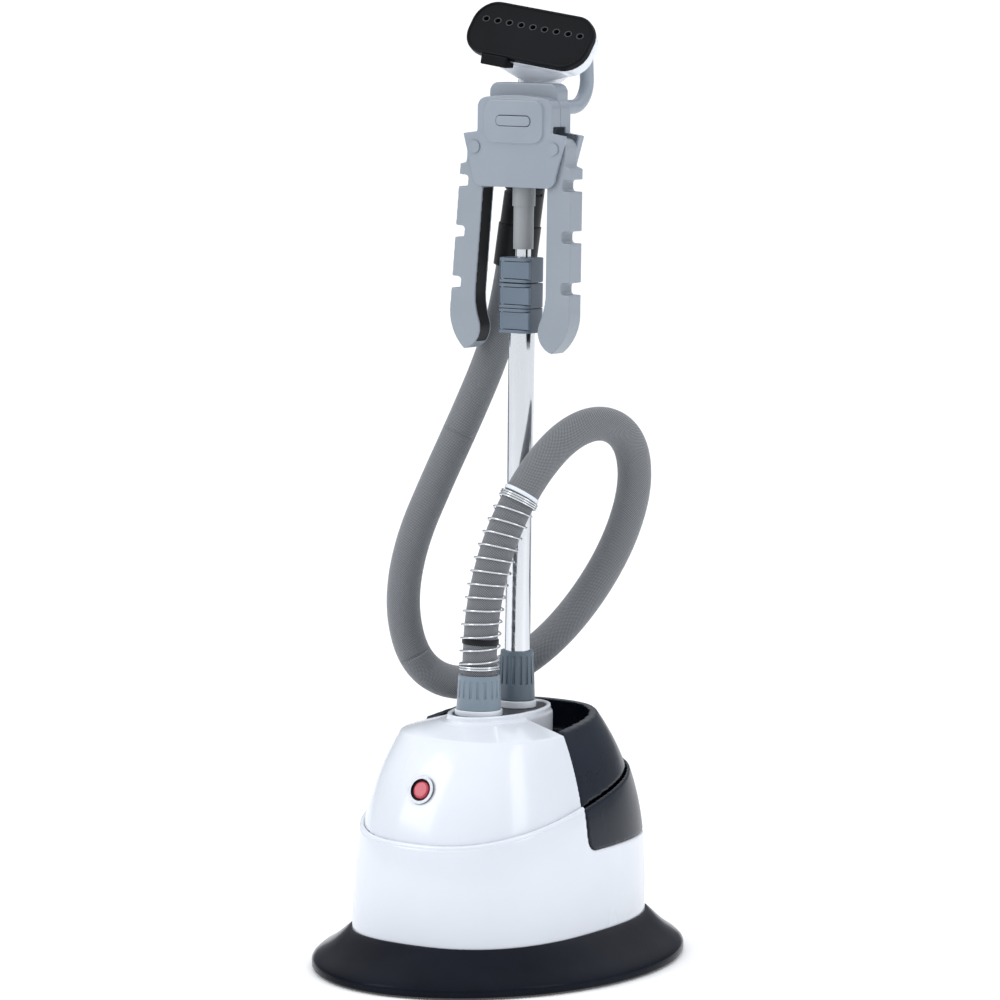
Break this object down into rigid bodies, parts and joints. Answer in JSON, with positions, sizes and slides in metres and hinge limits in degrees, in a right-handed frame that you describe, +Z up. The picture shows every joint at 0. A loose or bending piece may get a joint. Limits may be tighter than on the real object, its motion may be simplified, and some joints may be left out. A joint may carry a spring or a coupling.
{
  "type": "garment steamer",
  "caption": "Upright garment steamer: floor base with rear tank, telescopic pole, folding hanger and steam head on a hose.",
  "frame": {"origin": "on the floor under the middle of the base", "axes": "+Z up along the pole, -Y towards the front with the power switch, +X to the front's right-hand side seen from above with the back away"},
  "size_m": [0.284, 0.38, 0.807],
  "materials": {
    "white_shell": "satin",
    "black_gloss": "gloss",
    "black_satin": "satin",
    "smoke_tank": "gloss",
    "rubber": "matte",
    "grey_pole_nut": "satin",
    "grey_hose_nut": "satin",
    "slate_clamp": "satin",
    "grey_hanger": "satin",
    "grey_sleeve": "satin",
    "chrome_tube": "polished",
    "steel": "satin",
    "red_button": "gloss",
    "cast_boiler": "cast",
    "silicone": "matte",
    "woven_hose": "woven"
  },
  "bodies": {
    "base": {"base_skirt": "black_gloss", "base_plate": "black_satin", "rubber_feet": "rubber", "base_screws": "steel", "lower_shell": "white_shell", "upper_shell": "white_shell", "top_insert": "black_gloss", "hose_port_ring": "white_shell", "pole_port_ring": "white_shell", "pole_socket": "grey_sleeve", "hose_socket": "grey_sleeve", "switch_bezel": "chrome_tube", "switch_housing": "black_satin", "microswitch": "black_satin", "boiler": "cast_boiler", "boiler_cover": "cast_boiler", "steam_pipe": "silicone", "terminal_block": "black_satin", "water_inlet_seat": "black_satin", "feed_tube": "silicone", "cord_gland": "black_satin", "mast_tube_1": "chrome_tube", "mast_clamp_1": "slate_clamp", "clamp_pin_1": "steel", "steam_hose": "woven_hose", "hose_spring": "chrome_tube"},
    "water_tank": {"tank_body": "smoke_tank", "tank_rim": "smoke_tank", "tank_cap": "smoke_tank", "valve_stem": "steel"},
    "power_button": {"power_button": "red_button"},
    "hose_nut": {"hose_collar_nut": "grey_hose_nut"},
    "pole_nut": {"pole_collar_nut": "grey_pole_nut"},
    "mast_2": {"mast_tube_2": "chrome_tube", "mast_clamp_2": "slate_clamp", "clamp_pin_2": "steel"},
    "mast_3": {"mast_tube_3": "chrome_tube", "mast_clamp_3": "slate_clamp", "clamp_pin_3": "steel"},
    "mast_4": {"mast_tube_4": "chrome_tube"},
    "lever_1": {"clamp_lever_1": "slate_clamp"},
    "lever_2": {"clamp_lever_2": "slate_clamp"},
    "lever_3": {"clamp_lever_3": "slate_clamp"},
    "hanger": {"hanger_socket": "grey_sleeve", "hanger_front": "grey_hanger", "hanger_back": "grey_hanger", "hanger_screws": "steel", "arm_pivot_left": "chrome_tube", "arm_pivot_right": "chrome_tube", "cradle": "grey_hanger"},
    "release_button": {"release_button": "grey_hanger"},
    "arm_left": {"arm_left": "grey_hanger", "arm_liner_left": "black_satin"},
    "arm_right": {"arm_right": "grey_hanger", "arm_liner_right": "black_satin"},
    "handset": {"steam_plate": "black_satin", "head_shell": "white_shell", "handle_grip": "black_satin", "hose_cuff": "black_satin", "accessory_latch": "black_satin"}
  },
  "joints": [
    {"name": "tank_lift", "type": "slide", "parent": "base", "child": "water_tank", "axis": [0, 0, 1], "range_m": [0, 0.13], "deforming": ["steam_hose"]},
    {"name": "power_press", "type": "slide", "parent": "base", "child": "power_button", "axis": [0, 0.9336, -0.3584], "range_m": [0, 0.002], "stiffness_N_per_m": 400},
    {"name": "hose_nut_turn", "type": "hinge", "parent": "base", "child": "hose_nut", "pos_m": [0, -0.038, 0.23], "axis": [0, 0, 1], "continuous": true},
    {"name": "pole_nut_turn", "type": "hinge", "parent": "base", "child": "pole_nut", "pos_m": [0, 0.02, 0.24], "axis": [0, 0, 1], "continuous": true},
    {"name": "mast_extend", "type": "slide", "parent": "base", "child": "mast_4", "axis": [0, 0, 1], "range_m": [0, 0.78], "deforming": ["steam_hose", "hose_spring"]},
    {"name": "mast_2_slide", "type": "slide", "parent": "base", "child": "mast_2", "axis": [0, 0, 1], "range_m": [0, 0.26]},
    {"name": "mast_3_slide", "type": "slide", "parent": "base", "child": "mast_3", "axis": [0, 0, 1], "range_m": [0, 0.52]},
    {"name": "lever_1_flip", "type": "hinge", "parent": "base", "child": "lever_1", "pos_m": [-0.0104, 0.006, 0.5413], "axis": [0, 0, -1], "range_deg": [0, 100]},
    {"name": "lever_2_flip", "type": "hinge", "parent": "mast_2", "child": "lever_2", "pos_m": [-0.0104, 0.006, 0.5623], "axis": [0, 0, -1], "range_deg": [0, 100]},
    {"name": "lever_3_flip", "type": "hinge", "parent": "mast_3", "child": "lever_3", "pos_m": [-0.0104, 0.006, 0.5838], "axis": [0, 0, -1], "range_deg": [0, 100]},
    {"name": "hanger_swivel", "type": "hinge", "parent": "mast_4", "child": "hanger", "pos_m": [0, 0.02, 0.65], "axis": [0, 0, 1], "range_deg": [-90, 90], "deforming": ["steam_hose"]},
    {"name": "release_press", "type": "slide", "parent": "hanger", "child": "release_button", "axis": [0, 1, 0], "range_m": [0, 0.002], "stiffness_N_per_m": 400},
    {"name": "arm_left_fold", "type": "hinge", "parent": "hanger", "child": "arm_left", "pos_m": [-0.039, 0.016, 0.686], "axis": [0, 1, 0], "range_deg": [0, 81]},
    {"name": "arm_right_fold", "type": "hinge", "parent": "hanger", "child": "arm_right", "pos_m": [0.039, 0.016, 0.686], "axis": [0, -1, 0], "range_deg": [0, 85]},
    {"name": "handset_lift", "type": "slide", "parent": "hanger", "child": "handset", "axis": [0.1392, 0, 0.9903], "range_m": [0, 0.045], "deforming": ["steam_hose"]}
  ],
  "couplings": [
    {"joint": "mast_2_slide", "follows": "mast_extend", "ratio": 0.33333},
    {"joint": "mast_3_slide", "follows": "mast_extend", "ratio": 0.66667}
  ]
}
